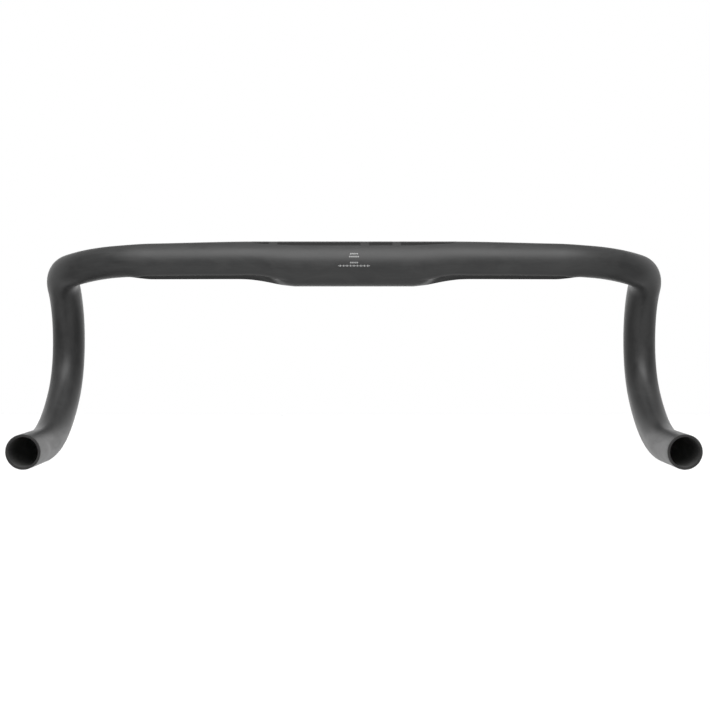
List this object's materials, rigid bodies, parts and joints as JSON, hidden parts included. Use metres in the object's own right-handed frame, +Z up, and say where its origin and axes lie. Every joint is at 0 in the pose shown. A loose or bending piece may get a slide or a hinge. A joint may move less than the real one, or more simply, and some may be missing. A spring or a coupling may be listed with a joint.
{
  "type": "drop handlebar",
  "caption": "Flared compact drop handlebar with a round stem clamp zone, oval tops with cable grooves underneath, and open bar ends.",
  "frame": {"origin": "centre of the stem clamp zone, on its axis", "axes": "+X to the rider's right along the clamp axis, +Y forward, +Z up"},
  "size_m": [0.4668, 0.1505, 0.1572],
  "materials": {
    "body": "matte black carbon laminate",
    "core": "raw carbon laminate, filament wound",
    "sleeve": "raw carbon laminate",
    "band": "smooth dark film",
    "marks": "printed film"
  },
  "bodies": {
    "root": {"centre_section": "body", "clamp_core": "core", "left_drop": "body", "right_drop": "body", "left_joint_sleeve": "sleeve", "right_joint_sleeve": "sleeve", "top_band": "band", "centre_marks": "marks"}
  },
  "joints": []
}
